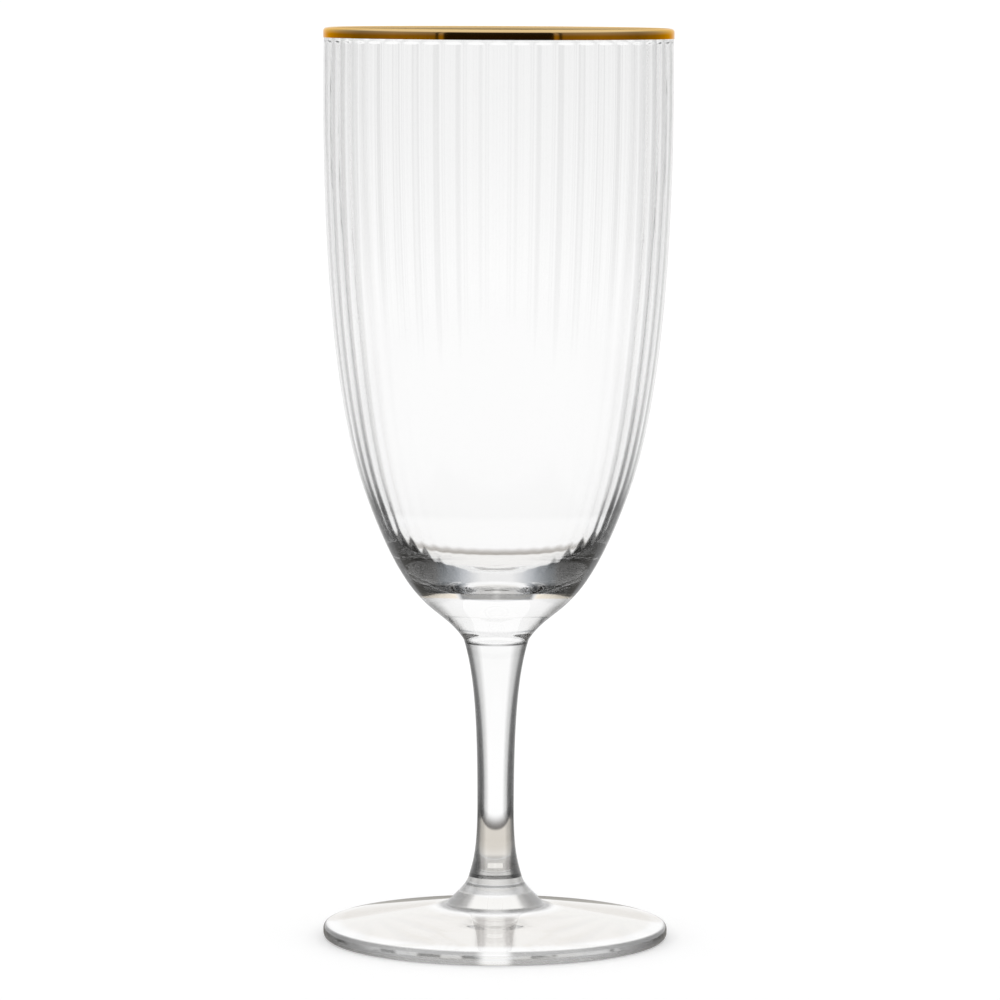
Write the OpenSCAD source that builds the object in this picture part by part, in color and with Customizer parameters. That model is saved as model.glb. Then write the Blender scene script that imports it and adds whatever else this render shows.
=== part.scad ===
// Stemmed water goblet: a ribbed glass bowl fused to a solid stem and a round foot,
// with a thin band of gold over the lip. Millimetres, +Z up, origin under the middle of the foot.

/* [Foot] */
// Diameter of the foot
foot_d = 77; // [64:0.5:95]
// Thickness of the foot at its edge
foot_edge_t = 3.2; // [2.6:0.1:4.5]
// Rounding of the foot's edge, above and below
foot_edge_round = 1.2; // [0.4:0.1:1.3]
// Height of the foot's top at the ring where the flare rises
foot_crown_h = 7.4; // [5.5:0.1:9]
// Diameter of the ring where the flare rises from the foot
flare_d = 22.4; // [17:0.2:30]
// Height of the seat where the stem is fused to the foot
foot_seat_h = 13.8; // [11:0.1:18]
// Depth of the shallow hollow under the foot
foot_hollow = 0.6; // [0.2:0.1:1.5]
// Width of the flat ring that the goblet stands on
foot_ring_w = 6; // [3:0.5:10]

/* [Stem] */
// Length of the stem between its two seats
stem_l = 53.4; // [36:0.2:80]
// Diameter of the seat between the foot and the stem
stem_foot_d = 11.8; // [9:0.1:15]
// Diameter of the stem at its waist
waist_d = 8.2; // [6:0.1:9]
// Height of the waist above the foot's seat
waist_h = 16.2; // [10:0.2:26]
// Diameter of the seat between the stem and the bowl
stem_bowl_d = 14.6; // [11:0.1:19]

/* [Bowl] */
// Height of the bowl's glass from its seat on the stem to the top of the lip
bowl_h = 135.9; // [100:0.5:170]
// Outside diameter of the glass at the rim
rim_d = 77.5; // [64:0.5:92]
// Outside diameter at the shoulder, where the base turns into the wall
shoulder_d = 59.1; // [48:0.5:64]
// Height of the shoulder above the bowl's seat
shoulder_h = 33.4; // [26:0.2:44]
// Thickness of the wall at the shoulder
shoulder_wall = 2.6; // [1.8:0.1:4]
// Thickness of solid glass under the cavity
base_t = 12.2; // [9:0.2:20]
// Thickness of the lip
lip_t = 1.4; // [1:0.1:2.2]

/* [Ribs] */
// Number of upright ribs inside the bowl
rib_count = 48; // [24:1:56]
// Height of a rib's crest above its root at the rim
rib_depth = 0.15; // [0.05:0.05:0.8]

/* [Gold band] */
// Height of the band on the outside of the rim
band_h = 2.1; // [1.2:0.1:6]
// Height of the band inside the lip
band_inner_h = 1; // [0.8:0.1:1.6]
// Thickness of the gold
band_t = 0.12; // [0.05:0.01:0.3]
// Plain glass between the band and the tops of the ribs
band_gap = 0.5; // [0.2:0.1:3]

/* [Hidden] */
$fn = 96;

glass_colour = [0.90, 0.93, 0.93, 0.45];
gold_colour = [0.76, 0.56, 0.20];

// Heights above the table
bowl_seat_z = foot_seat_h + stem_l;
shoulder_z = bowl_seat_z + shoulder_h;
rim_z = bowl_seat_z + bowl_h;
lip_centre_z = rim_z - lip_t / 2;
plain_lip_z = rim_z - band_h - band_gap;

// Radii
foot_r = foot_d / 2;
flare_r = flare_d / 2;
stem_foot_r = stem_foot_d / 2;
waist_r = waist_d / 2;
stem_bowl_r = stem_bowl_d / 2;
shoulder_r = shoulder_d / 2;
rim_r = rim_d / 2;
lip_centre_r = rim_r - lip_t / 2;
lip_inner_r = rim_r - lip_t;

// Directions of the outline at its key points, in degrees up from the radius outwards
upright = 90;
level = 0;
flare_lean = 135;
foot_seat_lean = 106;
bowl_seat_stem_lean = 73;
bowl_seat_bowl_lean = 56.5;
shoulder_lean = 70.5;

// Pull of each curve at its lower and upper end, as a share of the distance between its ends
flare_pull = [0.5, 0.25];
lower_stem_pull = [0.25, 0.62];
upper_stem_pull = [0.53, 0.21];
base_pull = [0.256, 0.772];
wall_pull = [0.315, 0.09];
cavity_base_pull = [0.44, 0.44];

// Steps along the curves
outline_steps = 12;
corner_steps = 6;
lip_steps = 12;
cavity_base_steps = 7;
cavity_wall_steps = 6;
points_per_rib = 4;

// Step in from the plain lip to the roots of the ribs, and the height of the cutter's neck above it
rib_root_step = 0.05;
cutter_neck_h = 1;

function heading(lean) = [cos(lean), sin(lean)];

// Points of a cubic curve that leaves a and reaches b in the given directions
function curve(a, a_lean, b, b_lean, pull, steps) =
    let (
        reach = norm(b - a),
        a_grip = a + pull[0] * reach * heading(a_lean),
        b_grip = b - pull[1] * reach * heading(b_lean)
    )
    [for (i = [0:steps])
        let (t = i / steps, u = 1 - t)
        u * u * u * a + 3 * u * u * t * a_grip + 3 * u * t * t * b_grip + t * t * t * b];

function arc(centre, radius, from, to, steps) =
    [for (i = [0:steps]) centre + radius * heading(from + (to - from) * i / steps)];

function without_first(points) = [for (i = [1:len(points) - 1]) points[i]];

// Outline of the foot: hollow, standing ring, rounded edge, sloping top and flare
foot_ring_r = foot_r - foot_edge_round - foot_ring_w;
hollow_radius = (foot_ring_r * foot_ring_r + foot_hollow * foot_hollow) / (2 * foot_hollow);
hollow_angle = asin(foot_ring_r / hollow_radius);
foot_top_fall = atan2(foot_crown_h - foot_edge_t, foot_r - foot_edge_round - flare_r);
foot_outline = concat(
    arc([0, foot_hollow - hollow_radius], hollow_radius, upright, upright - hollow_angle, corner_steps),
    arc([foot_r - foot_edge_round, foot_edge_round], foot_edge_round, -90, 0, corner_steps),
    arc([foot_r - foot_edge_round, foot_edge_t - foot_edge_round], foot_edge_round,
        0, upright - foot_top_fall, corner_steps),
    curve([flare_r, foot_crown_h], flare_lean, [stem_foot_r, foot_seat_h], foot_seat_lean,
        flare_pull, outline_steps),
    [[0, foot_seat_h]]);

// Outline of the stem: seat on the foot, waist, seat under the bowl
waist = [waist_r, foot_seat_h + waist_h];
stem_outline = concat(
    [[0, foot_seat_h]],
    curve([stem_foot_r, foot_seat_h], foot_seat_lean, waist, upright, lower_stem_pull, outline_steps),
    without_first(curve(waist, upright, [stem_bowl_r, bowl_seat_z], bowl_seat_stem_lean,
        upper_stem_pull, outline_steps)),
    [[0, bowl_seat_z]]);

// Outline of the bowl's outside, its rounded lip and the plain bore inside the lip
shoulder = [shoulder_r, shoulder_z];
lip_centre = [lip_centre_r, lip_centre_z];
bowl_outline = concat(
    [[0, bowl_seat_z]],
    curve([stem_bowl_r, bowl_seat_z], bowl_seat_bowl_lean, shoulder, shoulder_lean,
        base_pull, outline_steps),
    without_first(curve(shoulder, shoulder_lean, [rim_r, plain_lip_z], upright,
        wall_pull, outline_steps)),
    arc(lip_centre, lip_t / 2, 0, 180, lip_steps),
    [[lip_inner_r, plain_lip_z], [0, plain_lip_z]]);

// Outline of the cavity at the roots of the ribs, from its lowest point upwards
cavity_floor = [0, bowl_seat_z + base_t];
cavity_shoulder = [shoulder_r - shoulder_wall, shoulder_z];
cavity_top = [lip_inner_r - rib_root_step, plain_lip_z];
cavity_outline = concat(
    without_first(curve(cavity_floor, level, cavity_shoulder, shoulder_lean,
        cavity_base_pull, cavity_base_steps)),
    without_first(curve(cavity_shoulder, shoulder_lean, cavity_top, upright,
        wall_pull, cavity_wall_steps)),
    [cavity_top + [0, cutter_neck_h]]);

// How far a rib stands in from its root at a given angle and root radius, less and less towards the bottom
function rib_rise(angle, root_r) =
    let (share = root_r / lip_inner_r)
    rib_depth * share * share * (1 + cos(angle * rib_count)) / 2;

// The space inside the bowl, with a groove for each rib
module ribbed_cavity() {
    sides = rib_count * points_per_rib;
    rings = len(cavity_outline);
    ring_points = [for (p = cavity_outline, j = [0:sides - 1])
        let (angle = 360 * (j + 0.5) / sides, r = p[0] - rib_rise(angle, p[0]))
        [r * cos(angle), r * sin(angle), p[1]]];
    bottom = rings * sides;
    top = bottom + 1;
    points = concat(ring_points, [
        [0, 0, cavity_floor[1]],
        [0, 0, cavity_top[1] + cutter_neck_h]]);
    wall_faces = [for (i = [0:rings - 2], j = [0:sides - 1], half = [0, 1])
        let (
            k = (j + 1) % sides,
            a = i * sides + j,
            b = i * sides + k,
            c = (i + 1) * sides + j,
            d = (i + 1) * sides + k
        )
        half == 0 ? [a, d, b] : [a, c, d]];
    floor_faces = [for (j = [0:sides - 1]) [bottom, j, (j + 1) % sides]];
    roof_faces = [for (j = [0:sides - 1])
        [top, (rings - 1) * sides + (j + 1) % sides, (rings - 1) * sides + j]];
    polyhedron(points, concat(wall_faces, floor_faces, roof_faces));
}

module foot() {
    color(glass_colour)
        rotate_extrude()
            polygon(foot_outline);
}

module stem() {
    color(glass_colour)
        rotate_extrude()
            polygon(stem_outline);
}

module bowl() {
    color(glass_colour)
        difference() {
            rotate_extrude()
                polygon(bowl_outline);
            ribbed_cavity();
        }
}

// The gold follows the lip from the outside, over its top, to the inside
module rim_band() {
    inner_face = concat(
        [[rim_r, rim_z - band_h]],
        arc(lip_centre, lip_t / 2, 0, 180, lip_steps),
        [[lip_inner_r, rim_z - band_inner_h]]);
    outer_face = concat(
        [[rim_r + band_t, rim_z - band_h]],
        arc(lip_centre, lip_t / 2 + band_t, 0, 180, lip_steps),
        [[lip_inner_r - band_t, rim_z - band_inner_h]]);
    outer_face_back = [for (i = [len(outer_face) - 1:-1:0]) outer_face[i]];
    color(gold_colour)
        rotate_extrude()
            polygon(concat(inner_face, outer_face_back));
}

foot();
stem();
bowl();
rim_band();
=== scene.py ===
import math

import bpy
from mathutils import Matrix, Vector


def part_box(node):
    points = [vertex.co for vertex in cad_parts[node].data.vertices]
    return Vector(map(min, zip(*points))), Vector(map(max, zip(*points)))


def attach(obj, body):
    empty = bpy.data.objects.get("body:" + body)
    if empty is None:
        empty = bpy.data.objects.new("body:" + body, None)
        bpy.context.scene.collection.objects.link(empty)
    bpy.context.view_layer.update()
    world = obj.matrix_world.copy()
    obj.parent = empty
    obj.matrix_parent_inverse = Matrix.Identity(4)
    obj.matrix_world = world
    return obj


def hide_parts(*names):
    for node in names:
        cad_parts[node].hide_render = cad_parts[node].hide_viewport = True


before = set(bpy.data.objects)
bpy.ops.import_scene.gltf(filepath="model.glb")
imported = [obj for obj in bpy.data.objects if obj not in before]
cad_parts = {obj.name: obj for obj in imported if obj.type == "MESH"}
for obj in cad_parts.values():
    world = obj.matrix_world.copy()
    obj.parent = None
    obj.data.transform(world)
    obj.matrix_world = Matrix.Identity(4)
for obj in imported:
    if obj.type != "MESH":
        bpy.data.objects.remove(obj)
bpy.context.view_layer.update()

scene = bpy.context.scene

# Sizes that the frame gives, in metres
foot_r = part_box("foot")[1].x
foot_seat_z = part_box("foot")[1].z
bowl_seat_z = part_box("stem")[1].z
rim_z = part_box("bowl")[1].z
band_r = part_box("rim_band")[1].x
band_low_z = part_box("rim_band")[0].z
band_top_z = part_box("rim_band")[1].z
band_t = band_top_z - rim_z

# Sizes of the foot
foot_edge_t = 0.0032
foot_edge_round = 0.0012
foot_crown_h = 0.0074
foot_hollow = 0.0006
foot_ring_w = 0.006
flare_r = 0.0112

# Sizes of the stem
stem_foot_r = 0.0059
waist_r = 0.0041
waist_z = foot_seat_z + 0.0162
stem_bowl_r = 0.0073

# Sizes of the bowl
rim_r = band_r - band_t
shoulder_r = 0.02955
shoulder_z = bowl_seat_z + 0.0334
shoulder_wall = 0.0026
base_t = 0.0122
lip_t = 0.0014
band_inner_h = 0.001
band_gap = 0.0005
plain_lip_z = band_low_z - band_gap
lip_inner_r = rim_r - lip_t

# The ribs inside the bowl: they start between two heights and fade out under the plain lip
rib_count = 48
rib_depth = 0.00015
rib_fade = 0.0006
rib_start = 0.08, 0.1
points_per_rib = 12

glass_ior = 1.52

# Directions of the outline at its key points, in degrees up from the radius outwards
UPRIGHT = 90
LEVEL = 0
FLARE_LEAN = 135
FOOT_SEAT_LEAN = 106
STEM_TOP_LEAN = 73
BOWL_SEAT_LEAN = 56.5
SHOULDER_LEAN = 70.5

# Pull of each curve at its lower and upper end, as a share of the distance between its ends
FLARE_PULL = (0.5, 0.25)
LOWER_STEM_PULL = (0.25, 0.62)
UPPER_STEM_PULL = (0.53, 0.21)
BASE_PULL = (0.256, 0.772)
WALL_PULL = (0.315, 0.09)
CAVITY_BASE_PULL = (0.44, 0.44)

# Points round each piece and over the lip, and the angle in degrees from which an edge is sharp
BOWL_SIDES = rib_count * points_per_rib
FOOT_SIDES = 384
STEM_SIDES = 192
BAND_SIDES = 384
LIP_STEPS = 12
SHARP_ANGLE = 20
POLE_R = 1e-9

# Places of the materials on the glass pieces and on the gold
GLASS, SEAM, CAVITY = 0, 1, 2
GOLD, BACK = 0, 1

# Heights of the foot's painted shade and painted reflection: a band starts, is full, is last full and
# ends; a pair starts and is full
NECK = 0.0103, 0.0107, 0.0138, 0.0139
NECK_LINE = 0.0119, 0.0121, 0.0124, 0.0126
FLARE = 0.0076, 0.0080, 0.0103, 0.0107
FLARE_ROOT = 0.0070, 0.0073, 0.0077, 0.0080
FOOT_TOP = 0.0034, 0.0038, 0.0066, 0.0071
EDGE_BELT = 0.0014, 0.0017, 0.0021, 0.0024
BELOW_EDGE = 0.0032, 0.0029
# Distance from the axis that the ramp of the painted reflection on the foot's top spans
TOP_RAMP_R = 0.01

# Heights of the stem's painted shade
WAIST = 0.0265, 0.0285, 0.032, 0.066
STEM_BOTTOM = 0.0215, 0.0150
LOW_STEM = 0.0141, 0.0145, 0.0185, 0.0195
WINDOW = 0.0161, 0.0164, 0.0172, 0.0175
LOW_SEAM = foot_seat_z + 0.0010, foot_seat_z + 0.0007
HIGH_SEAM = tuple(bowl_seat_z - drop for drop in (0.0010, 0.0007, 0.0005, 0.0002))

# Heights of the bowl's painted shade
BELOW_FLOOR = 0.078, 0.075
THICK_BASE = 0.083, 0.088, 0.095, 0.104
SHADED_LINE = 0.0861, 0.0866, 0.0873, 0.0878
FLANK = 0.094, 0.1
WALLED = 0.094, 0.096
ABOVE_BASE = 0.095, 0.125
# The line of the cavity's floor, which bends up in the middle, and the heights of the painted shade and
# the painted gleam above it
FLOOR_LINE_Z, FLOOR_LINE_RISE = 0.0773, 0.002
RING = 0, 0.0003, 0.0019, 0.0032
GLEAM = -0.0012, -0.0008, 0, 0.0003
LOWER_MIDDLE = -0.0015, -0.0011, 0.0001, 0.0004
UPPER_MIDDLE = 0.0001, 0.0004, 0.0015, 0.0019
# The painted crescents' inner edge: height, slope and side of two lines, and the size and shift of its
# teeth
STEEP_EDGE = 0.0883, 48, 0.62
GENTLE_EDGE = 0.093, 3, 0.845
TOOTH_SIZE = 0.055
TOOTH_SHIFT = math.radians(1.2)
# The painted crescents' upper part, which starts higher towards the side
UPPER_LEAN = -0.0142
UPPER_START = 0.0773, 0.0783
# Distance from the axis that the ramp of trapped light spans
TRAPPED_RAMP_R = 0.025

# The table top that glass and gold show: its dark edge and its end, from the axis
TABLE_EDGE = 0.117, 0.127
TABLE_END = 0.174, 0.127


def heading(lean):
    return math.cos(math.radians(lean)), math.sin(math.radians(lean))


def curve(a, a_lean, b, b_lean, pull, steps):
    """Points of a cubic curve that leaves a and reaches b in the given directions."""
    reach = math.dist(a, b)
    (ax, az), (bx, bz) = heading(a_lean), heading(b_lean)
    grip_a = a[0] + pull[0] * reach * ax, a[1] + pull[0] * reach * az
    grip_b = b[0] - pull[1] * reach * bx, b[1] - pull[1] * reach * bz
    points = []
    for i in range(steps + 1):
        t = i / steps
        u = 1 - t
        shares = u ** 3, 3 * u * u * t, 3 * u * t * t, t ** 3
        points.append(tuple(
            sum(s * p[k] for s, p in zip(shares, (a, grip_a, grip_b, b))) for k in (0, 1)))
    return points


def arc(centre, radius, start, end, steps):
    points = []
    for i in range(steps + 1):
        x, z = heading(start + (end - start) * i / steps)
        points.append((centre[0] + radius * x, centre[1] + radius * z))
    return points


def line(a, b, steps):
    """Points between a and b, without a."""
    return [tuple(p + (q - p) * i / steps for p, q in zip(a, b)) for i in range(1, steps + 1)]


def smooth_step(low, high, x):
    t = min(max((x - low) / (high - low), 0), 1)
    return t * t * (3 - 2 * t)


def rib_rise(angle, root_r, z):
    """How far the inside stands in from the roots of the ribs."""
    fade = 1 - smooth_step(plain_lip_z - rib_fade, plain_lip_z, z)
    fade *= smooth_step(*rib_start, z)
    wave = (1 + math.cos(angle * rib_count)) / 2
    return rib_depth * (root_r / lip_inner_r) ** 3 * fade * wave


def turned(name, stretches, sides, closed=False):
    """A solid turned about the upright axis.
    A stretch is (points, material, ribbed), a run of the outline that starts where the last one ended."""
    rings = [stretches[0][0][0]]
    ribs = [False]
    bands = []
    for points, material, ribbed in stretches:
        rings += points[1:]
        ribs += [ribbed] * (len(points) - 1)
        bands += [material] * (len(points) - 1)
    if closed:
        rings.pop()
        ribs.pop()
    verts = []
    starts = []
    for (r, z), ribbed in zip(rings, ribs):
        pole = r < POLE_R
        starts.append((len(verts), pole))
        for j in range(1 if pole else sides):
            angle = 2 * math.pi * j / sides
            reach = r - (rib_rise(angle, r, z) if ribbed else 0)
            verts.append((reach * math.cos(angle), reach * math.sin(angle), z))
    faces = []
    slots = []
    for i, material in enumerate(bands):
        (low, low_pole), (high, high_pole) = starts[i], starts[(i + 1) % len(starts)]
        for j in range(sides):
            k = (j + 1) % sides
            if low_pole:
                face = (low, high + k, high + j)
            elif high_pole:
                face = (low + j, low + k, high)
            else:
                face = (low + j, low + k, high + k, high + j)
            faces.append(face)
            slots.append(material)
    mesh = bpy.data.meshes.new(name)
    mesh.from_pydata(verts, [], faces)
    mesh.polygons.foreach_set("material_index", slots)
    mesh.polygons.foreach_set("use_smooth", [True] * len(faces))
    mesh.update()
    mesh.set_sharp_from_angle(angle=math.radians(SHARP_ANGLE))
    piece = bpy.data.objects.new(name, mesh)
    scene.collection.objects.link(piece)
    return piece


def node(tree, kind, **values):
    made = tree.nodes.new(kind)
    for key, value in values.items():
        setattr(made, key, value)
    return made


def feed(tree, source, target):
    """Links a socket to an input, or sets the input to a plain value."""
    if isinstance(source, bpy.types.NodeSocket):
        tree.links.new(source, target)
    else:
        target.default_value = source


def calc(tree, operation, *values):
    made = node(tree, "ShaderNodeMath", operation=operation)
    for value, target in zip(values, made.inputs):
        feed(tree, value, target)
    return made.outputs[0]


def times(tree, product, *factors):
    for factor in factors:
        product = calc(tree, "MULTIPLY", product, factor)
    return product


def slope(tree, value, start, rate, level):
    """A straight line that has the level where the value is at start."""
    return calc(tree, "MULTIPLY_ADD", calc(tree, "SUBTRACT", value, start), rate, level)


def at_least(tree, count, number):
    """1 where a whole count is the number or more."""
    return calc(tree, "GREATER_THAN", count, number - 0.5)


def fewer(tree, count, number):
    """1 where a whole count is less than the number."""
    return calc(tree, "LESS_THAN", count, number - 0.5)


def grey(level):
    return level, level, level, 1


def blend(tree, share, a, b):
    """The colour a where share is 0 and b where it is 1."""
    made = node(tree, "ShaderNodeMix", data_type="RGBA")
    feed(tree, share, made.inputs["Factor"])
    feed(tree, a, made.inputs["A"])
    feed(tree, b, made.inputs["B"])
    return made.outputs["Result"]


def ramp(tree, value, *stops):
    """A colour ramp over stops of (place, colour)."""
    made = node(tree, "ShaderNodeValToRGB")
    elements = made.color_ramp.elements
    while len(elements) < len(stops):
        elements.new(1)
    for element, (place, colour) in zip(elements, stops):
        element.position = place
        element.color = colour
    feed(tree, value, made.inputs["Fac"])
    return made.outputs["Color"]


def greys(tree, value, *stops):
    """A colour ramp over stops of (place, level of grey)."""
    return ramp(tree, value, *((place, grey(level)) for place, level in stops))


def ease(tree, value, low, high):
    """0 up to low, 1 from high on and a smooth change between them; low may be above high."""
    made = node(tree, "ShaderNodeMapRange", interpolation_type="SMOOTHSTEP")
    feed(tree, value, made.inputs["Value"])
    feed(tree, low, made.inputs["From Min"])
    feed(tree, high, made.inputs["From Max"])
    return made.outputs["Result"]


def between(tree, value, low, low_end, high, high_end):
    """1 from low_end to high, with smooth falls to 0 at low and at high_end."""
    return times(tree, ease(tree, value, low, low_end), ease(tree, value, high_end, high))


def noise(tree, place, scale, detail=2):
    made = node(tree, "ShaderNodeTexNoise")
    made.inputs["Scale"].default_value = scale
    made.inputs["Detail"].default_value = detail
    feed(tree, place, made.inputs["Vector"])
    return made.outputs["Fac"]


def position(tree):
    """The shaded point, in metres."""
    return node(tree, "ShaderNodeNewGeometry").outputs["Position"]


def split(tree, vector):
    """The x, y and z of a vector."""
    made = node(tree, "ShaderNodeSeparateXYZ")
    feed(tree, vector, made.inputs[0])
    return made.outputs[:3]


def from_axis(tree, x, y):
    """Distance from the upright axis."""
    return calc(tree, "SQRT", calc(tree, "ADD", times(tree, x, x), times(tree, y, y)))


def principled(name):
    material = bpy.data.materials.new(name)
    material.use_nodes = True
    return material, material.node_tree.nodes["Principled BSDF"]


def facing(tree, normal=None):
    """0 where the surface, or a given direction, faces the ray, 1 where the ray is square to it."""
    slant = node(tree, "ShaderNodeLayerWeight")
    slant.inputs["Blend"].default_value = 0.5
    if normal:
        feed(tree, normal, slant.inputs["Normal"])
    return slant.outputs["Facing"]


def sideways(tree):
    """How far to the side a ray meets a turned shape: 0 in its middle, 1 at its silhouette."""
    x, y = split(tree, position(tree))[:2]
    around = node(tree, "ShaderNodeCombineXYZ")
    feed(tree, times(tree, y, -1), around.inputs["X"])
    feed(tree, x, around.inputs["Y"])
    unit = node(tree, "ShaderNodeVectorMath", operation="NORMALIZE")
    feed(tree, around.outputs[0], unit.inputs[0])
    return calc(tree, "SUBTRACT", 1, facing(tree, unit.outputs[0]))


def inner_side(tree):
    """1 where a ray meets a face from inside the glass."""
    return node(tree, "ShaderNodeNewGeometry").outputs["Backfacing"]


def coming_in(tree):
    """1 where a ray meets a face from outside the glass."""
    return calc(tree, "SUBTRACT", 1, inner_side(tree))


def clear_glass(name, ripple=0.03):
    """Clear glass with slight ripples, drawn out along the upright axis."""
    material, shader = principled(name)
    tree = material.node_tree
    shader.inputs["Base Color"].default_value = grey(1)
    shader.inputs["Roughness"].default_value = 0
    shader.inputs["IOR"].default_value = glass_ior
    shader.inputs["Transmission Weight"].default_value = 1
    drawn = node(tree, "ShaderNodeVectorMath", operation="MULTIPLY")
    drawn.inputs[1].default_value = (1, 1, 0.1)
    feed(tree, position(tree), drawn.inputs[0])
    bump = node(tree, "ShaderNodeBump")
    bump.inputs["Strength"].default_value = ripple
    bump.inputs["Distance"].default_value = 0.0002
    feed(tree, noise(tree, drawn.outputs[0], 60, detail=1), bump.inputs["Height"])
    feed(tree, bump.outputs["Normal"], shader.inputs["Normal"])
    return material


def tint(material, share, colour):
    """Multiplies the glass's colour by a further one, where share is 1; this is how shade and light are
    painted into the glass.
    """
    tree = material.node_tree
    target = tree.nodes["Principled BSDF"].inputs["Base Color"]
    made = node(tree, "ShaderNodeMix", data_type="RGBA", blend_type="MULTIPLY")
    feed(tree, share, made.inputs["Factor"])
    feed(tree, target.links[0].from_socket if target.links else grey(1), made.inputs["A"])
    feed(tree, colour, made.inputs["B"])
    feed(tree, made.outputs["Result"], target)


def grazed(material):
    """Painted shade: glass is greyer where a ray grazes it."""
    tree = material.node_tree
    tint(material, coming_in(tree), greys(tree, facing(tree), (0.4, 1), (0.6, 0.95), (0.85, 0.8)))


def foot_glass():
    """The foot, with painted shade and a painted reflection: its flare and its edge are greyer than its
    top, which shows the stem as two painted bars.
    """
    material = clear_glass("foot_glass", ripple=0.01)
    tree = material.node_tree
    place = position(tree)
    x, y, height = split(tree, place)
    entering = coming_in(tree)
    side = sideways(tree)
    # Painted shade: bands at the neck and over the flare and its root, darker towards the sides, and a
    # dark line across the neck
    for band, colour in (
            (NECK, greys(tree, side, (0.1, 0.6), (0.4, 0.45), (0.6, 0.25), (0.75, 0.35), (0.9, 0.14))),
            (NECK_LINE, grey(0.3)),
            (FLARE, greys(tree, side, (0.5, 1), (0.62, 0.3), (0.75, 0.13), (0.95, 0.08))),
            (FLARE_ROOT, greys(tree, side, (0.1, 0.4), (0.3, 0.12)))):
        tint(material, times(tree, entering, between(tree, height, *band)), colour)

    # Painted shade at the foot's edge, less dark along a painted highlight line in its belt
    edge = times(tree, entering, ease(tree, height, *BELOW_EDGE), ease(tree, side, 0.05, 0.12))
    belt = between(tree, height, *EDGE_BELT)
    shine_line = times(tree, belt, ease(tree, side, 0.8, 0.6))
    tint(material, times(tree, edge, calc(tree, "MULTIPLY_ADD", shine_line, -0.3, 1)),
         greys(tree, side, (0.1, 0.26), (0.5, 0.22), (0.75, 0.1), (0.92, 0.03)))
    # Painted shade, mottled by noise, in the belt of the foot's edge
    mottled_shade = ease(tree, noise(tree, place, 220), 0.46, 0.58)
    tint(material, times(tree, edge, belt, mottled_shade), grey(0.2))

    # Painted reflection on the foot's top: a warm tint with two darker bars that show the stem
    top = times(tree, between(tree, height, *FOOT_TOP), ease(tree, facing(tree), 0.45, 0.62))
    off_axis = calc(tree, "DIVIDE", times(tree, side, from_axis(tree, x, y)), TOP_RAMP_R)
    warm, core, bar = (0.78, 0.75, 0.7, 1), (0.68, 0.65, 0.6, 1), (0.36, 0.335, 0.31, 1)
    tint(material, times(tree, entering, top), ramp(
        tree, off_axis, (0, warm), (0.04, core), (0.16, core), (0.25, bar), (0.38, bar), (0.48, warm)))
    return material


def stem_glass():
    """The stem's rod of glass, with painted shade: a bright core between painted dark lines, and a
    painted dark line at each seam.
    """
    material = clear_glass("stem_glass")
    tree = material.node_tree
    height = split(tree, position(tree))[2]
    entering = coming_in(tree)
    side = sideways(tree)
    # Painted shade: dark lines down both sides of the stem, wider at the waist and at the bottom
    narrow = calc(tree, "MAXIMUM", between(tree, height, *WAIST), ease(tree, height, *STEM_BOTTOM))
    spread = times(tree, side, calc(tree, "MULTIPLY_ADD", narrow, 0.3, 0.95))
    tint(material, entering, greys(
        tree, spread, (0.45, 1), (0.5, 0.85), (0.6, 0.5), (0.7, 0.33), (0.8, 0.04), (0.87, 0.012),
        (0.96, 0.004)))
    # Painted shade low on the stem, with a clear window in it, and painted dark lines at both seams
    window = times(tree, between(tree, height, *WINDOW), ease(tree, side, 0.36, 0.3))
    low = times(tree, between(tree, height, *LOW_STEM), calc(tree, "SUBTRACT", 1, window))
    tint(material, times(tree, entering, low), greys(
        tree, side, (0.3, 0.42), (0.5, 0.6), (0.7, 0.8), (0.8, 1)))
    tint(material, times(tree, entering, ease(tree, height, *LOW_SEAM)), grey(0.06))
    tint(material, times(tree, entering, between(tree, height, *HIGH_SEAM)), greys(
        tree, side, (0.1, 0.45), (0.4, 0.18), (0.56, 0.05), (0.7, 0.035)))
    return material


def tint_floor(material, entering, side, height):
    """The bowl's base, with painted shade: dark sides, and at the cavity's floor a dark ring with a
    painted warm gleam under it and two grey bands in its middle."""
    tree = material.node_tree
    tint(material, times(tree, entering, ease(tree, height, *BELOW_FLOOR)), greys(
        tree, side, (0.68, 1), (0.78, 0.45), (0.86, 0.16), (0.97, 0.08)))
    ahead = calc(tree, "SQRT", calc(tree, "SUBTRACT", 1, times(tree, side, side)))
    floor_line = calc(tree, "MULTIPLY_ADD", ahead, FLOOR_LINE_RISE, FLOOR_LINE_Z)
    above = calc(tree, "SUBTRACT", height, floor_line)
    # Painted shade in a dark ring above the floor line, with a painted warm gleam under it
    ring = times(tree, between(tree, above, *RING), ease(tree, side, 0.3, 0.42))
    tint(material, times(tree, entering, ring), greys(
        tree, side, (0.5, 0.03), (0.75, 0.035), (0.84, 0.12), (0.95, 0.15)))
    gleam = times(tree, between(tree, above, *GLEAM), ease(tree, side, 0.42, 0.5))
    tint(material, times(tree, entering, gleam), (0.95, 0.8, 0.6, 1))
    middle = times(tree, entering, ease(tree, side, 0.47, 0.4))
    for band, level in ((LOWER_MIDDLE, 0.13), (UPPER_MIDDLE, 0.38)):
        tint(material, times(tree, middle, between(tree, above, *band)), greys(
            tree, side, (0, 2 * level), (0.06, 1.1 * level), (0.4, level)))


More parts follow.
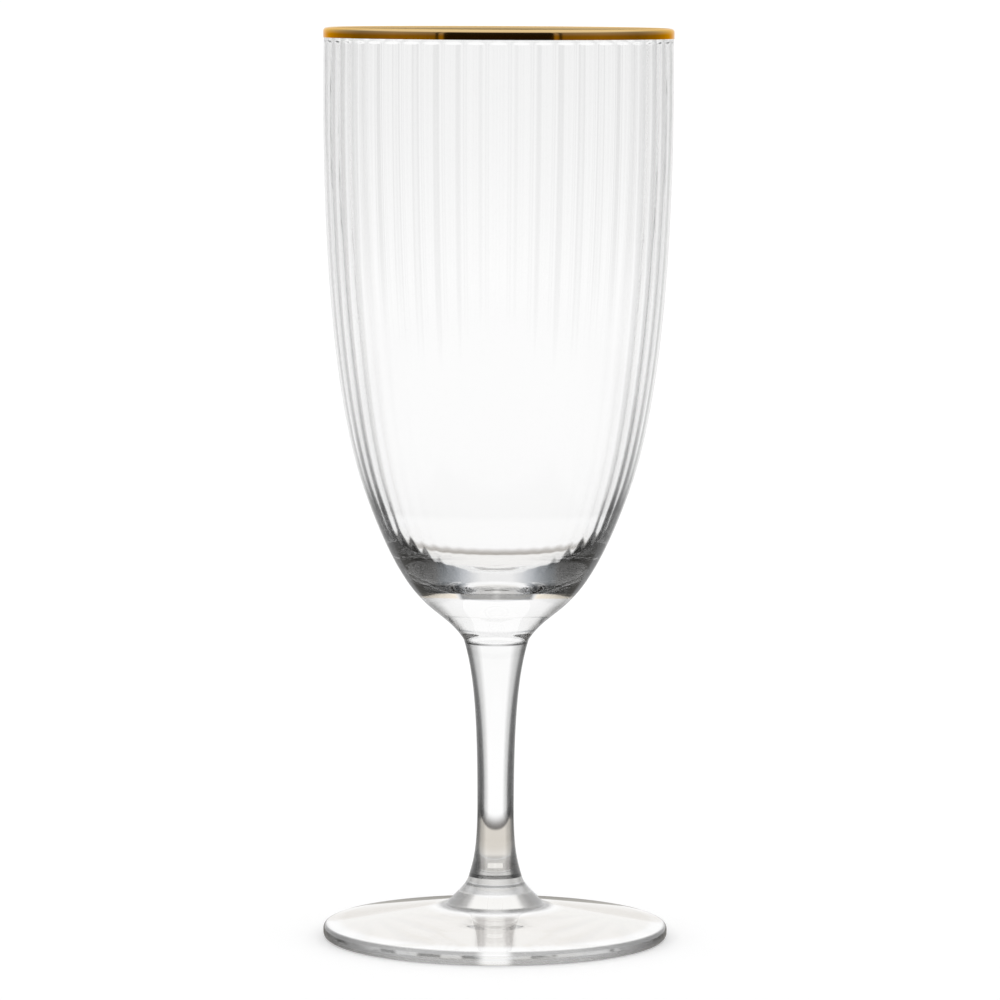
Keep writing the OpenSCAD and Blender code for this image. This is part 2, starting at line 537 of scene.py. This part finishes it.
def tint_crescents(material, entering, side, height, ribs):
    """Painted shade: the dark crescents at the sides of the bowl's base, whose inner edge the ribs cut
    into teeth.
    """
    tree = material.node_tree
    inner_edge = calc(
        tree, "MINIMUM", slope(tree, height, *STEEP_EDGE), slope(tree, height, *GENTLE_EDGE))
    past = calc(tree, "SUBTRACT", calc(tree, "MULTIPLY_ADD", ribs, TOOTH_SIZE, side), inner_edge)
    thick = times(tree, between(tree, height, *THICK_BASE), ease(tree, past, -0.03, 0.03))
    tint(material, times(tree, entering, thick), greys(
        tree, side, (0.7, 0.5), (0.8, 0.42), (0.84, 0.2), (0.88, 0.1), (0.92, 0.045)))
    raised = calc(tree, "MULTIPLY_ADD", side, UPPER_LEAN, height)
    upper = times(tree, thick, ease(tree, raised, *UPPER_START))
    tint(material, times(tree, entering, upper), greys(
        tree, side, (0.55, 0.5), (0.66, 0.06), (0.78, 0.06), (0.85, 0.12), (0.9, 0.2), (0.95, 0.35)))
    # Painted shade: a thin dark line across the crescents
    shaded_line = times(tree, between(tree, height, *SHADED_LINE), ease(tree, side, 0.6, 0.7))
    tint(material, times(tree, entering, shaded_line), grey(0.06))


def bowl_glass():
    """The outside of the bowl: light that is reflected to and fro in the thick base and wall comes
    out dark."""
    material = clear_glass("bowl_glass")
    tree = material.node_tree
    x, y, height = split(tree, position(tree))
    entering = coming_in(tree)
    side = sideways(tree)
    turn = calc(tree, "ARCTAN2", y, calc(tree, "ABSOLUTE", x))
    turn = calc(tree, "SUBTRACT", turn, TOOTH_SHIFT)
    ribs = calc(tree, "COSINE", times(tree, turn, rib_count))
    # Height in fifths of a metre, so that ramps over it reach from 0 to 1
    fifths = times(tree, height, 5)
    grazed(material)
    tint_floor(material, entering, side, height)
    tint_crescents(material, entering, side, height, ribs)

    # Painted shade in stripes along the ribs, towards the sides of the bowl
    flank = times(tree, ease(tree, ribs, -0.3, 0.7), ease(tree, side, 0.7, 0.92),
                  ease(tree, height, *FLANK))
    tint(material, times(tree, entering, flank), greys(
        tree, fifths, (0.5, 0.32), (0.6, 0.45), (0.75, 0.6)))

    # Painted shade: light that has turned three times or more in the glass, or once or twice in the wall,
    # is tinted dark
    path = node(tree, "ShaderNodeLightPath").outputs
    turns = path["Glossy Depth"]
    within = times(tree, fewer(tree, path["Transmission Depth"], 2), inner_side(tree))
    off_axis = times(tree, side, from_axis(tree, x, y), glass_ior)
    off_axis = calc(tree, "DIVIDE", off_axis, TRAPPED_RAMP_R)
    dark = ramp(
        tree, off_axis, (0.13, grey(0.75)), (0.26, (0.33, 0.35, 0.38, 1)),
        (0.34, (0.13, 0.145, 0.165, 1)), (0.4, (0.06, 0.068, 0.078, 1)), (0.47, (0.022, 0.026, 0.03, 1)),
        (0.54, grey(0.008)), (0.6, grey(0.003)), (0.66, grey(0.001)))
    dark = blend(tree, ease(tree, height, *ABOVE_BASE), dark, grey(0.6))
    tint(material, times(tree, within, at_least(tree, turns, 3)), dark)
    walled = times(tree, at_least(tree, turns, 1), fewer(tree, turns, 3), within,
                   ease(tree, height, *WALLED))
    tint(material, walled, greys(
        tree, fifths, (0.48, 0.05), (0.515, 0.28), (0.56, 0.65), (0.65, 0.75), (0.8, 0.65)))
    return material


def cavity_glass():
    """The inside of the bowl, with painted shade where a ray grazes it."""
    material = clear_glass("cavity_glass")
    grazed(material)
    return material


def fused_seam():
    """Faces inside the fused glass, which let light straight through."""
    material, shader = principled("fused_seam")
    shader.inputs["Alpha"].default_value = 0
    return material


def gold_lustre():
    """Fired gold: bright outside, with a painted highlight that makes it paler over the top of the lip,
    and painted light that makes it paler inside it, where it is also duller.
    """
    material, shader = principled("gold_lustre")
    tree = material.node_tree
    shader.inputs["Metallic"].default_value = 1
    shader.inputs["Specular Tint"].default_value = (0.95, 0.7, 0.35, 1)
    place = position(tree)
    x, y, height = split(tree, place)
    within = ease(tree, from_axis(tree, x, y), rim_r - lip_t / 2, rim_r - lip_t)
    top = ease(tree, height, rim_z - lip_t, rim_z)
    grain = noise(tree, place, 900)
    outside = blend(tree, grain, (0.52, 0.19, 0.002, 1), (0.62, 0.25, 0.006, 1))
    # Painted highlight over the top of the lip and painted light inside it
    painted_light = calc(tree, "MAXIMUM", top, within)
    feed(tree, blend(tree, painted_light, outside, (0.76, 0.57, 0.3, 1)), shader.inputs["Base Color"])
    gloss = calc(tree, "MULTIPLY_ADD", grain, 0.04, 0.05)
    feed(tree, calc(tree, "MULTIPLY_ADD", within, 0.5, gloss), shader.inputs["Roughness"])
    return material


def gold_back():
    """The side of the gold that lies on the glass: dull gold, but pale to light that the wall has
    led to it."""
    material, shader = principled("gold_back")
    tree = material.node_tree
    shader.inputs["Metallic"].default_value = 1
    shader.inputs["Roughness"].default_value = 0.3
    dull = blend(tree, noise(tree, position(tree), 600), (0.5, 0.33, 0.12, 1), (0.6, 0.42, 0.17, 1))
    led = at_least(tree, node(tree, "ShaderNodeLightPath").outputs["Glossy Depth"], 1)
    feed(tree, blend(tree, led, dull, grey(0.95)), shader.inputs["Base Color"])
    return material


def make_foot():
    ring_r = foot_r - foot_edge_round - foot_ring_w
    hollow_radius = (ring_r ** 2 + foot_hollow ** 2) / (2 * foot_hollow)
    hollow_angle = math.degrees(math.asin(ring_r / hollow_radius))
    edge_centre_r = foot_r - foot_edge_round
    top_fall = math.degrees(math.atan2(foot_crown_h - foot_edge_t, edge_centre_r - flare_r))
    under = arc((0, foot_hollow - hollow_radius), hollow_radius,
                UPRIGHT, UPRIGHT - hollow_angle, steps=20)
    under[0] = (0, foot_hollow)
    edge = arc((edge_centre_r, foot_edge_round), foot_edge_round, -UPRIGHT, LEVEL, steps=12)
    edge += arc((edge_centre_r, foot_edge_t - foot_edge_round), foot_edge_round,
                LEVEL, UPRIGHT - top_fall, steps=12)
    top = line(edge[-1], (flare_r, foot_crown_h), steps=20)
    flare = curve((flare_r, foot_crown_h), FLARE_LEAN, (stem_foot_r, foot_seat_z), FOOT_SEAT_LEAN,
                  FLARE_PULL, steps=24)
    seat = [flare[-1], (0, foot_seat_z)]
    outline = under + line(under[-1], edge[0], steps=4) + edge[1:] + top + flare[1:]
    return turned("foot_glass", [(outline, GLASS, False), (seat, SEAM, False)], FOOT_SIDES)


def make_stem():
    waist = waist_r, waist_z
    lower = curve((stem_foot_r, foot_seat_z), FOOT_SEAT_LEAN, waist, UPRIGHT, LOWER_STEM_PULL, steps=32)
    upper = curve(waist, UPRIGHT, (stem_bowl_r, bowl_seat_z), STEM_TOP_LEAN, UPPER_STEM_PULL, steps=40)
    seat = [(0, foot_seat_z), lower[0]]
    top = [upper[-1], (0, bowl_seat_z)]
    return turned("stem_glass", [
        (seat, SEAM, False),
        (lower + upper[1:], GLASS, False),
        (top, SEAM, False)], STEM_SIDES)


def over_lip(outside_r, stand_off):
    """Outline of the gilded lip from outside to inside, at a distance from the glass."""
    centre = rim_r - lip_t / 2, rim_z - lip_t / 2
    crest = arc(centre, lip_t / 2 + stand_off, LEVEL, 2 * UPRIGHT, LIP_STEPS)
    return [(outside_r, band_low_z)] + crest + [(lip_inner_r - stand_off, rim_z - band_inner_h)]


def make_bowl():
    shoulder = shoulder_r, shoulder_z
    base = curve((stem_bowl_r, bowl_seat_z), BOWL_SEAT_LEAN, shoulder, SHOULDER_LEAN, BASE_PULL, steps=36)
    wall = curve(shoulder, SHOULDER_LEAN, (rim_r, plain_lip_z), UPRIGHT, WALL_PULL, steps=32)
    below_band = line(wall[-1], (rim_r, band_low_z), steps=2)
    gilded = over_lip(rim_r, 0)
    lip_in = [gilded[-1]] + line(gilded[-1], (lip_inner_r, plain_lip_z), steps=2)
    cavity_shoulder = shoulder_r - shoulder_wall, shoulder_z
    cavity_wall = curve(cavity_shoulder, SHOULDER_LEAN, (lip_inner_r, plain_lip_z), UPRIGHT,
                        WALL_PULL, steps=40)
    cavity_wall[-1:] = line(cavity_wall[-2], cavity_wall[-1], steps=6)
    cavity_base = curve((0, bowl_seat_z + base_t), LEVEL, cavity_shoulder, SHOULDER_LEAN,
                        CAVITY_BASE_PULL, steps=36)
    inside = cavity_wall[::-1] + cavity_base[::-1][1:]
    seat = [(0, bowl_seat_z), base[0]]
    return turned("bowl_glass", [
        (seat, SEAM, False),
        (base + wall[1:] + below_band, GLASS, False),
        (gilded, SEAM, False),
        (lip_in, GLASS, False),
        (inside, CAVITY, True)], BOWL_SIDES)


def make_band():
    inner_face = over_lip(rim_r, 0)
    outer_face = over_lip(band_r, band_t)
    back = outer_face[-1:] + inner_face[::-1] + outer_face[:1]
    return turned("gold_band", [(outer_face, GOLD, False), (back, BACK, False)], BAND_SIDES, closed=True)


seam = fused_seam()
for piece, replaced, slot, materials in (
        (make_foot(), "foot", "glass", (foot_glass(), seam)),
        (make_stem(), "stem", "glass", (stem_glass(), seam)),
        (make_bowl(), "bowl", "glass", (bowl_glass(), seam, cavity_glass())),
        (make_band(), "rim_band", "gold", (gold_lustre(), gold_back()))):
    for material in materials:
        piece.data.materials.append(material)
    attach(piece, "root")
    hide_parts(replaced)


def light_path(tree):
    """The counts of a ray's past, and three kinds of ray: seen through glass, mirrored by the gold and
    mirrored by the outside of the glass."""
    path = node(tree, "ShaderNodeLightPath").outputs
    glossy, singular = path["Is Glossy Ray"], path["Is Singular Ray"]
    straight = fewer(tree, path["Diffuse Depth"], 1)
    through = times(tree, path["Is Transmission Ray"], straight)
    sheen = calc(tree, "SUBTRACT", glossy, singular)
    mirrored = times(tree, calc(tree, "MAXIMUM", sheen, 0), straight)
    shine = times(tree, glossy, fewer(tree, path["Transmission Depth"], 1), singular, straight)
    return path, through, mirrored, shine


def table_top(tree, path, shine):
    """Colour of the square table top that glass and gold show, and how far out from its middle."""
    x, y = split(tree, position(tree))[:2]
    out = calc(tree, "MAXIMUM", calc(tree, "ABSOLUTE", x), calc(tree, "ABSOLUTE", y))
    turns = path["Glossy Depth"]
    reflected = at_least(tree, turns, 1)
    walls = at_least(tree, path["Transmission Depth"], 4)
    two_seams = at_least(tree, path["Transparent Depth"], 4)
    top = blend(tree, walls, (0.66, 0.62, 0.56, 1), (0.76, 0.73, 0.68, 1))
    top = blend(tree, reflected, top, (0.92, 0.925, 0.93, 1))
    top = blend(tree, ease(tree, facing(tree), 0.75, 0.5), top, (0.93, 0.92, 0.9, 1))
    # Painted shade: the table top is dark to rays that turned in the base behind several walls, or that
    # went down the stem
    behind_base = times(tree, walls, at_least(tree, turns, 3))
    down_stem = times(tree, two_seams, at_least(tree, turns, 2))
    top = blend(tree, calc(tree, "MAXIMUM", behind_base, down_stem), top, (0.2, 0.19, 0.18, 1))
    edge = blend(tree, walls, (0.15, 0.14, 0.13, 1), (0.35, 0.32, 0.29, 1))
    edge = blend(tree, reflected, edge, (0.85, 0.865, 0.885, 1))
    top = blend(tree, ease(tree, out, *TABLE_EDGE), top, edge)
    return blend(tree, shine, top, (0.3, 0.29, 0.27, 1)), out


def mix_shaders(tree, share, a, b):
    made = node(tree, "ShaderNodeMixShader")
    feed(tree, share, made.inputs[0])
    feed(tree, a.outputs[0], made.inputs[1])
    feed(tree, b.outputs[0], made.inputs[2])
    return made


def make_floor():
    """Floor, white to the camera apart from the shadow; glass and gold show a pale square table top
    on it."""
    reach, drop = 60, 0.00002
    mesh = bpy.data.meshes.new("floor")
    corners = [(-reach, -reach, 0), (reach, -reach, 0), (reach, reach, 0), (-reach, reach, 0)]
    mesh.from_pydata(corners, [], [(0, 1, 2, 3)])
    floor = bpy.data.objects.new("floor", mesh)
    floor.location.z = -drop
    scene.collection.objects.link(floor)
    material, shader = principled("pale_floor")
    tree = material.node_tree
    path, through, mirrored, shine = light_path(tree)
    shader.inputs["Base Color"].default_value = grey(0.8)
    shader.inputs["Roughness"].default_value = 0.9
    shader.inputs["Emission Color"].default_value = grey(1)
    feed(tree, times(tree, path["Is Camera Ray"], 0.25), shader.inputs["Emission Strength"])
    colour, out = table_top(tree, path, shine)
    table = node(tree, "ShaderNodeEmission")
    feed(tree, colour, table.inputs["Color"])
    clear = node(tree, "ShaderNodeBsdfTransparent")
    table = mix_shaders(tree, ease(tree, out, *TABLE_END), clear, table)
    shown = calc(tree, "MAXIMUM", calc(tree, "MAXIMUM", through, mirrored), shine)
    both = mix_shaders(tree, shown, shader, table)
    feed(tree, both.outputs[0], tree.nodes["Material Output"].inputs["Surface"])
    mesh.materials.append(material)


make_floor()


def up(degrees):
    """Height in the world as a share: 0 straight down, 0.5 at the horizon, 1 straight up."""
    return degrees / 180 + 0.5


def studio_panels(tree, azimuth, height):
    """Four soft panels round the object, seen through both its walls, with darker gaps between them."""
    gap_limit, gap_depth, brightness = 0.35, 0.5, 1.25
    gap = calc(tree, "ABSOLUTE", calc(tree, "SINE", times(tree, azimuth, 2)))
    dip = times(tree, calc(tree, "MINIMUM", gap, gap_limit), gap_depth, ease(tree, height, up(10), up(4)))
    rise = greys(
        tree, height, (up(-5.6), 0.94), (up(-4.4), 0.825), (up(-3.4), 0.785), (up(-2.9), 0.765),
        (up(-2.4), 0.745), (up(-1.2), 0.728), (up(4), 0.73), (up(10), 0.76))
    level = times(tree, rise, brightness)
    return calc(tree, "MINIMUM", calc(tree, "SUBTRACT", level, dip), 1)


def mirrored_room(tree, azimuth, height):
    """What the gold mirrors: a white ceiling, and a room that is dark in front, with a thin light strip
    on each side."""
    turned_away = calc(tree, "DIVIDE", calc(tree, "ABSOLUTE", azimuth), math.pi)
    around = greys(
        tree, turned_away, (0.12, 1), (0.22, 0.7), (0.3, 0.45), (0.42, 0.28), (0.6, 0.4), (0.768, 0.3),
        (0.77, 0.03), (0.78, 0.03), (0.782, 0.4), (0.798, 0.4), (0.8, 0.02))
    return blend(tree, ease(tree, height, up(18), up(45)), around, grey(1))


def make_world():
    """World: plain white light, with a soft studio for what glass and gold show.
    The outside of the glass mirrors a grey room below the horizon."""
    world = bpy.data.worlds.new("studio")
    scene.world = world
    world.use_nodes = True
    tree = world.node_tree
    path, through, mirrored, shine = light_path(tree)
    x, y, z = split(tree, node(tree, "ShaderNodeTexCoord").outputs["Generated"])
    azimuth = calc(tree, "ARCTAN2", x, y)
    height = calc(tree, "DIVIDE", calc(tree, "ARCSINE", z), math.radians(180))
    height = calc(tree, "ADD", height, 0.5)
    walls = at_least(tree, path["Transmission Depth"], 4)
    below = ease(tree, height, up(-10), up(-14))
    light = blend(tree, times(tree, through, walls), grey(1), studio_panels(tree, azimuth, height))
    light = blend(tree, mirrored, light, mirrored_room(tree, azimuth, height))
    light = blend(tree, times(tree, shine, below), light, grey(0.6))
    feed(tree, light, tree.nodes["Background"].inputs["Color"])
    tree.nodes["Background"].inputs["Strength"].default_value = 1


make_world()


def make_camera():
    distance, height, aside = 1.2418, 0.2163, 0.0007
    tilt, roll = 5.426, 0.25
    data = bpy.data.cameras.new("camera")
    data.lens = 201.5
    data.sensor_width = 36
    camera = bpy.data.objects.new("camera", data)
    scene.collection.objects.link(camera)
    turn = Matrix.Rotation(math.radians(90 - tilt), 4, "X") @ Matrix.Rotation(math.radians(roll), 4, "Z")
    camera.matrix_world = Matrix.Translation((aside, -distance, height)) @ turn
    scene.camera = camera


make_camera()

scene.view_settings.view_transform = "Standard"
scene.cycles.max_bounces = 96
scene.cycles.transmission_bounces = 64
scene.cycles.glossy_bounces = 64
scene.cycles.transparent_max_bounces = 48
